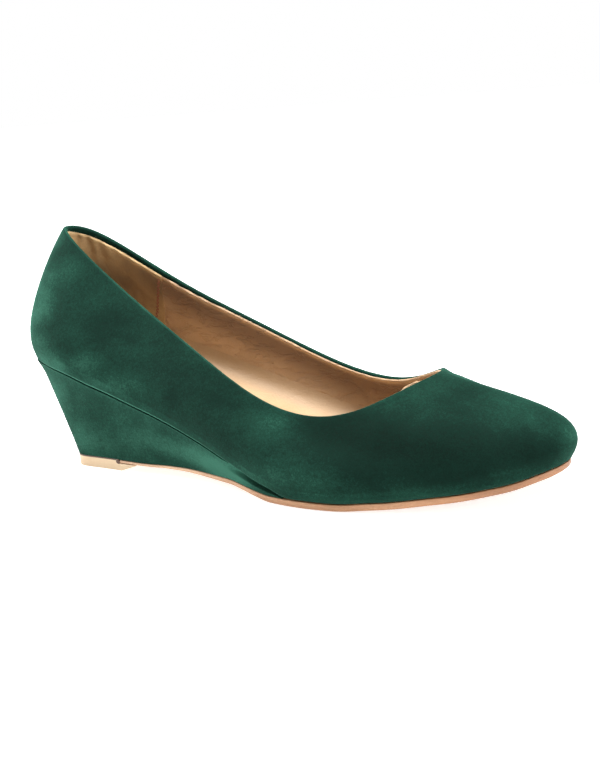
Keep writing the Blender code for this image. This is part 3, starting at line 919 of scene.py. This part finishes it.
# Shares of the top piece's step, of the arch's hump and of what the outsole gains to the ball
ARCH = table(
    "along   step   hump   gain",
    (0.000, 1.00, 0.000, 0.00),
    (0.225, 1.00, 0.000, 0.00),
    (0.263, 0.90, 0.142, 0.03),
    (0.318, 0.50, 0.622, 0.09),
    (0.381, 0.20, 0.856, 0.30),
    (0.445, 0.00, 0.890, 0.46),
    (0.487, 0.00, 0.590, 0.58),
    (0.521, 0.00, 0.202, 0.82),
    (0.555, 0.00, 0.000, 1.00),
    (1.000, 0.00, 0.000, 1.00),
)


def wedge_underside(x):
    """Height of the wedge's underside."""
    along = x / SHOE_LENGTH
    step = steady(ARCH["along"], ARCH["step"], along)
    hump = steady(ARCH["along"], ARCH["hump"], along)
    return LAST_LIFT + (TOP_PIECE_THICKNESS + CLEARANCE - LAST_LIFT) * step + ARCH_HUMP * hump


def heel_ring(rows, front, count=150, across=13):
    """The part of an outline behind a distance: outer side, straight front and inner side."""
    fine = np.linspace(0, 10, 801)
    ends = []
    for stations in (fine, 20 - fine):
        ends.append(np.interp(front, curve(rows, stations)[:, 0], stations))
    outer = curve(rows, np.linspace(0, ends[0], count))
    inner = curve(rows, np.linspace(ends[1], 20, count))
    line = outer[-1] + (inner[0] - outer[-1]) * np.linspace(0, 1, across)[1:-1, None]
    return np.concatenate([outer, line, inner])


def ring_out(ring):
    """The outward directions of a ring in plan."""
    along = np.gradient(ring, axis=0)
    along[[0, -1]] = ring[1] - ring[-2]
    return outward(along)


def closed(rows):
    """Rows closed below and above by flat faces across the shoe."""
    return [middle_of(rows[0]), *rows, middle_of(rows[-1])]


def wedge_rows():
    feather = outline_rows(FEATHER, WEDGE_SETBACK)
    high = heel_ring(feather, WEDGE_FRONT)
    low = heel_ring(outline_rows(TREAD), WEDGE_FRONT)
    tip = smooth((high[:, 0] - STEP_START) / STEP_RUN)[:, None]
    turned_in = ring_out(high) * np.array([0, 1]) * tip * WEDGE_STEP
    top = level(high, last_bottom(high[:, 0]) - CLEARANCE)
    base = level(low, wedge_underside(low[:, 0]))
    tall = (top[:, 2:] - base[:, 2:]) / (top[0, 2] - base[0, 2])
    out = ring_out(low)
    around_heel = np.exp(-((high[:, 0] - high[0, 0]) / 0.007) ** 2)[:, None]
    corner = np.minimum(COVER_ROUND, (top[:, 2:] - base[:, 2:]) * 0.4)
    rows = []
    for share in np.concatenate([[0.0, 0.0, 0.0], np.linspace(0.02, 1, 30), [1.0, 1.0, 1.0]]):
        ring = base + (top - base) * share
        ring[:, :2] -= out * tall * WEDGE_HOLLOW * 4 * share * (1 - share)
        ring[:, :2] -= turned_in * smooth((share - 0.50) / 0.30)
        from_top = (1 - share) * (top[:, 2:] - base[:, 2:])
        ring[:, :2] += out * around_heel * COVER_LIP * np.exp(-(from_top / 0.0030) ** 2)
        rows.append(ring)
    for step in range(3):
        angle = math.pi / 6 * (step + 1)
        rows[2 - step][:, :2] -= out * corner * 0.5 * (1 - math.cos(angle))
        rows[step - 3][:, :2] -= out * corner * (1 - math.cos(angle))
        fall = corner * (1 - math.sin(angle))
        rows[step - 3][:, 2:] -= fall
    return closed(rows)


# The wedge's painted highlights where the nap catches the light, its painted shade, and a painted
# highlight along its top edge's rows
WEDGE_NAP_HIGHLIGHTS = (
    ((0.0170, -0.0190, 0.0340), (0.012, 0.014, 0.020), 0.26),
    ((0.0340, -0.0190, 0.0100), (0.022, 0.014, 0.008), 0.10),
    ((0.0860, -0.0275, 0.0140), (0.022, 0.014, 0.009), 0.26),
    ((0.1080, -0.0320, 0.0085), (0.024, 0.014, 0.008), 0.42),
    ((0.0980, -0.0310, 0.0120), (0.020, 0.014, 0.008), 0.18),
    ((0.0640, -0.0250, 0.0150), (0.022, 0.014, 0.009), 0.12),
    ((0.0260, -0.0180, 0.0120), (0.012, 0.014, 0.012), 0.18),
)
WEDGE_PAINTED_SHADE = (
    ((0.0400, -0.0230, 0.0240), (0.014, 0.014, 0.008), 0.06),
)
WEDGE_EDGE_HIGHLIGHTS = ((33, 35, 0.12, (0.070, 0.000, 0.020), (0.300, 0.200, 0.200)),)
# The same suede with a higher base tone: painted light, so that the wedge lies lighter than the
# upper
wedge_suede = suede("wedge suede", 0.325, WEDGE_NAP_HIGHLIGHTS, WEDGE_PAINTED_SHADE, WEDGE_EDGE_HIGHLIGHTS)
wedge_cover = piece("wedge_cover", laid(wedge_rows()), wedge_suede)
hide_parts("wedge")


# The outsole. A moulded rubber sole is cemented under the ball and the wedge, with a rounded lower
# edge. It thins to a tail at the heel, which the top piece's lip holds.
SOLE_EDGE_RADIUS = 0.0012
TOP_PIECE_LENGTH = 0.0275
TAIL = TREAD["along"][0] * SHOE_LENGTH + TOP_PIECE_LENGTH + CLEARANCE


def outsole_top(x):
    ball = BOTTOM["along"][8] * SHOE_LENGTH
    return np.where(x < ball, wedge_underside(x), last_bottom(x)) - CLEARANCE


def outsole_thickness(x):
    gain = steady(ARCH["along"], ARCH["gain"], x / SHOE_LENGTH)
    return TAIL_THICKNESS + (OUTSOLE_THICKNESS - TAIL_THICKNESS) * gain


def toe_ring(rows, tail, count=320, across=13):
    """The part of an outline in front of a distance, with a straight tail."""
    fine = np.linspace(0, 10, 801)
    first = np.interp(tail, curve(rows, fine)[:, 0], fine)
    last = np.interp(tail, curve(rows, 20 - fine)[:, 0], 20 - fine)
    sides = curve(rows, np.linspace(first, last, count))
    half = across // 2
    line = sides[-1] + (sides[0] - sides[-1]) * np.linspace(0, 1, across)[:, None]
    return np.concatenate([line[half:-1], sides, line[1:half + 1]])


def outsole_rows():
    ring = toe_ring(outline_rows(TREAD), TAIL)
    inside = outward(np.gradient(ring, axis=0))
    thick = outsole_thickness(ring[:, 0])
    top = outsole_top(ring[:, 0])
    radius = np.clip((thick - TAIL_THICKNESS) * 0.7, 0.0002, SOLE_EDGE_RADIUS)
    rows = []
    for step in range(6):
        angle = math.pi / 2 * step / 5
        plan = ring - inside * (radius * (1 - math.sin(angle)))[:, None]
        plan[:, 0] = np.maximum(plan[:, 0], TAIL)
        rows.append(level(plan, top - thick + radius * (1 - math.cos(angle))))
    edge = 0.00025
    rows.append(level(ring, top - edge))
    rows.append(level(ring - inside * edge * 0.3, top - edge * 0.3))
    shoulder = ring - inside * edge
    shoulder[:, 0] = np.maximum(shoulder[:, 0], TAIL)
    rows.append(level(shoulder, top))
    return closed(rows)


# Painted light: the arch side, which lies in shade under the wedge, is paler; the toe's tip is
# darker
RUBBER_SPOTS = (
    ((0.060, 0.0, 0.005), (0.090, 0.070, 0.040), 0.45),
    ((0.226, -0.012, 0.012), (0.045, 0.045, 0.030), -0.3),
)


def rubber(name, pale, mid, dark, rough):
    """Moulded rubber: an even tan with faint flow clouds, tiny specks and a satin skin."""
    finish = Finish(name)
    finish.shader.inputs["Specular IOR Level"].default_value = 0.4
    flow = finish.noise(30, 3, 0.55, 0.8, scale=(0.4, 1, 1.6))
    specks = finish.noise(1300, 2, 0.6)
    scuff = finish.noise(260, 4, 0.7, 1.0, scale=(0.35, 1, 1))
    tone = 0.45 + (flow - 0.5) * 0.7 + (specks - 0.5) * 0.16 + (scuff - 0.5) * 0.2
    # Painted light at the arch, and the toe's darker tip
    for centre, size, amount in RUBBER_SPOTS:
        tone = tone + finish.spot(centre, size) * amount
    colour = finish.shades(tone, (0.15, dark), (0.45, mid), (0.85, pale))
    skin = finish.bump(specks, 0.00006, 0.5)
    worn = finish.bump(scuff, 0.0002, 0.3, skin)
    gloss = finish.spread(scuff, 0.35, 0.65, rough - 0.08, rough + 0.1)
    return finish.give(Base_Color=colour, Roughness=gloss, Normal=worn)


tan_rubber = rubber(
    "outsole rubber", (0.60, 0.38, 0.235), (0.34, 0.165, 0.077), (0.20, 0.088, 0.040), 0.5
)
outsole = piece("rubber_outsole", laid(outsole_rows()), tan_rubber)
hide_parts("outsole")


# The top piece. A hard pale rubber block is nailed and cemented under the wedge's heel; its front
# is bevelled, and cut back to let the outsole's tail in.
TOP_PIECE_LIP = 0.0090
TOP_PIECE_BEVEL = 0.0075
TOP_PIECE_NOSE = 0.0005
TOP_PIECE_EDGE = 0.00035


def cutter(name, profile, width):
    """A side view's outline extruded across the shoe, to cut with."""
    mesh = bmesh.new()
    corners = [mesh.verts.new((x + LAST_TO_ROW[0], -width / 2, z)) for x, z in profile]
    face = mesh.faces.new(corners)
    grown = bmesh.ops.extrude_face_region(mesh, geom=[face])["geom"]
    moved = [item for item in grown if isinstance(item, bmesh.types.BMVert)]
    bmesh.ops.translate(mesh, verts=moved, vec=(0, width, 0))
    bmesh.ops.recalc_face_normals(mesh, faces=mesh.faces)
    data = bpy.data.meshes.new(name)
    mesh.to_mesh(data)
    mesh.free()
    made = bpy.data.objects.new(name, data)
    bpy.context.scene.collection.objects.link(made)
    return made


step = TREAD["along"][0] * SHOE_LENGTH + TOP_PIECE_LENGTH
front = step + TOP_PIECE_LIP
ledge = TOP_PIECE_THICKNESS - TAIL_THICKNESS - CLEARANCE
nose = ledge - TOP_PIECE_NOSE
ring = heel_ring(outline_rows(TREAD), front, 60, 5)
pale_rubber = rubber(
    "top piece rubber", (0.72, 0.55, 0.36), (0.62, 0.43, 0.26), (0.55, 0.37, 0.21), 0.4
)
block = laid(closed([level(ring, 0.0), level(ring, TOP_PIECE_THICKNESS)]))
top_piece = piece("rubber_top_piece", block, pale_rubber, math.radians(30))
above = 2 * TOP_PIECE_THICKNESS
beyond = front + TOP_PIECE_BEVEL
behind = front - 2 * TOP_PIECE_BEVEL
cutters = [
    cutter("seat", ((step, ledge), (beyond, ledge), (beyond, above), (step, above)), 0.1),
    cutter("bevel", ((behind, -nose), (beyond, -nose), (beyond, 2 * nose)), 0.1),
]
for cut in cutters:
    cutting = top_piece.modifiers.new(cut.name, "BOOLEAN")
    cutting.operation = "DIFFERENCE"
    cutting.solver = "EXACT"
    cutting.object = cut
softened = top_piece.modifiers.new("edge", "BEVEL")
softened.width = TOP_PIECE_EDGE
softened.segments = 2
softened.limit_method = "ANGLE"
softened.angle_limit = math.radians(40)
cut_block = top_piece.evaluated_get(bpy.context.evaluated_depsgraph_get())
solid = bpy.data.meshes.new_from_object(cut_block)
top_piece.modifiers.clear()
cleaned = bmesh.new()
cleaned.from_mesh(solid)
bmesh.ops.dissolve_limit(cleaned, angle_limit=0.001, verts=cleaned.verts, edges=cleaned.edges)
bmesh.ops.dissolve_degenerate(cleaned, dist=2e-6, edges=cleaned.edges)
bmesh.ops.remove_doubles(cleaned, verts=cleaned.verts, dist=2e-6)
cleaned.to_mesh(solid)
cleaned.free()
top_piece.data = solid
for cut in cutters:
    bpy.data.objects.remove(cut, do_unlink=True)
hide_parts("top_piece")


# The heel's glue line. Brown cement shows in the joint over the top piece, and one drop of it ran
# out beside the outsole's tail.
GLUE_PROUD = 0.00005
GLUE_DROP = (0.0441, -0.0183, 0.0038)
GLUE_SIZE = (0.0012, 0.0004, 0.0010)
ring = heel_ring(outline_rows(TREAD, -GLUE_PROUD), step, 60, 5)
low, high = TOP_PIECE_THICKNESS - 0.0001, TOP_PIECE_THICKNESS + CLEARANCE + 0.0001
glue = laid(closed([level(ring, low), level(ring, high)]))
spot = Matrix.Translation(Vector(np.array(GLUE_DROP) + LAST_TO_ROW))
bmesh.ops.create_uvsphere(
    glue, u_segments=24, v_segments=12, radius=1, matrix=spot @ Matrix.Diagonal((*GLUE_SIZE, 1))
)


def cement(name):
    finish = Finish(name, Coat_Roughness=0.3)
    film = finish.noise(500, 3, 0.6)
    colour = finish.shades(film, (0.3, (0.045, 0.020, 0.010)), (0.7, (0.11, 0.052, 0.026)))
    return finish.give(
        Base_Color=colour,
        Roughness=finish.spread(film, 0.3, 0.7, 0.3, 0.55),
        Normal=finish.bump(film, 0.0001, 0.5),
    )


piece("glue_line", glue, cement("brown cement"))


# The floor is a plain pale sheet, which is lit from below as on a light table. Four soft lamps
# light the shoe, most of all from above.
FLOOR_SIZE = 6
FLOOR_DIM = 1.2
floor_mesh = bmesh.new()
bmesh.ops.create_grid(floor_mesh, x_segments=1, y_segments=1, size=FLOOR_SIZE)
floor_data = bpy.data.meshes.new("floor")
floor_mesh.to_mesh(floor_data)
floor_mesh.free()
floor = bpy.data.objects.new("floor", floor_data)
bpy.context.scene.collection.objects.link(floor)
paper = Finish("floor paper", Emission_Strength=1.0)
tint = paper.noise(3, 2)
glow = 1 - paper.spot((0.1, 0.0, 0.0), (FLOOR_DIM, FLOOR_DIM, FLOOR_DIM))
white = paper.shades(tint, (0.3, (0.61, 0.61, 0.61)), (0.7, (0.63, 0.63, 0.63)))
floor_data.materials.append(paper.give(
    Base_Color=white,
    Roughness=paper.spread(tint, 0, 1, 0.8, 0.9),
    Emission_Color=paper.shades(glow, (0.0, (0.74, 0.74, 0.74)), (1.0, (1.0, 1.0, 1.0))),
))

world = bpy.data.worlds.new("studio")
bpy.context.scene.world = world
world.use_nodes = True
sky = world.node_tree.nodes
where = sky.new("ShaderNodeTexCoord")
parts = sky.new("ShaderNodeSeparateXYZ")
fall = sky.new("ShaderNodeValToRGB")
fall.color_ramp.elements[0].position = 0.10
fall.color_ramp.elements[0].color = (1.0, 1.0, 1.0, 1)
fall.color_ramp.elements[1].position = 0.25
fall.color_ramp.elements[1].color = (0.24, 0.24, 0.24, 1)
world.node_tree.links.new(where.outputs["Generated"], parts.inputs[0])
world.node_tree.links.new(parts.outputs["Z"], fall.inputs[0])
world.node_tree.links.new(fall.outputs["Color"], sky["Background"].inputs["Color"])
sky["Background"].inputs["Strength"].default_value = 1.0

# Place, target, width and power in watts
LAMPS = (
    ("overhead", (0.00, 0.00, 1.30), (0.0, 0.0, 0.03), 0.6, 44.0),
    ("front", (0.30, -1.30, 0.60), (0.0, 0.0, 0.04), 0.9, 1.5),
    ("left", (-1.20, -0.20, 0.45), (0.0, 0.0, 0.05), 0.7, 14.0),
    ("right", (1.30, -0.10, 0.40), (0.0, 0.0, 0.03), 0.6, 12.0),
)
for name, place, target, size, power in LAMPS:
    light = bpy.data.lights.new(name, "AREA")
    light.shape = "DISK"
    light.size = size
    light.energy = power
    lamp = bpy.data.objects.new(name, light)
    lamp.location = place
    lamp.rotation_euler = (Vector(target) - Vector(place)).to_track_quat("-Z", "Y").to_euler()
    bpy.context.scene.collection.objects.link(lamp)
bpy.context.scene.view_settings.view_transform = "Standard"


# The camera stands off the outer side towards the toe, a little above the shoe and rolled.
AZIMUTH = math.radians(30.905)
ELEVATION = math.radians(12.959)
ROLL = math.radians(-4.976)
DISTANCE = 0.588509
FOCAL_PIXELS = 1306.269
TARGET = Vector(np.array([0.083848, 0.066910, 0.019426]) + LAST_TO_ROW)
back = Vector((
    math.sin(AZIMUTH) * math.cos(ELEVATION),
    -math.cos(AZIMUTH) * math.cos(ELEVATION),
    math.sin(ELEVATION),
))
right = Vector((math.cos(AZIMUTH), math.sin(AZIMUTH), 0))
upward = back.cross(right)
rolled_right = math.cos(ROLL) * right + math.sin(ROLL) * upward
rolled_up = -math.sin(ROLL) * right + math.cos(ROLL) * upward
turned = Matrix((rolled_right, rolled_up, back)).transposed().to_4x4()
lens = bpy.data.cameras.new("camera")
lens.sensor_fit = "VERTICAL"
lens.sensor_height = 36
lens.lens = FOCAL_PIXELS * 36 / 760
lens.clip_start = 0.01
camera = bpy.data.objects.new("camera", lens)
camera.matrix_world = Matrix.Translation(TARGET + back * DISTANCE) @ turned
bpy.context.scene.collection.objects.link(camera)
bpy.context.scene.camera = camera
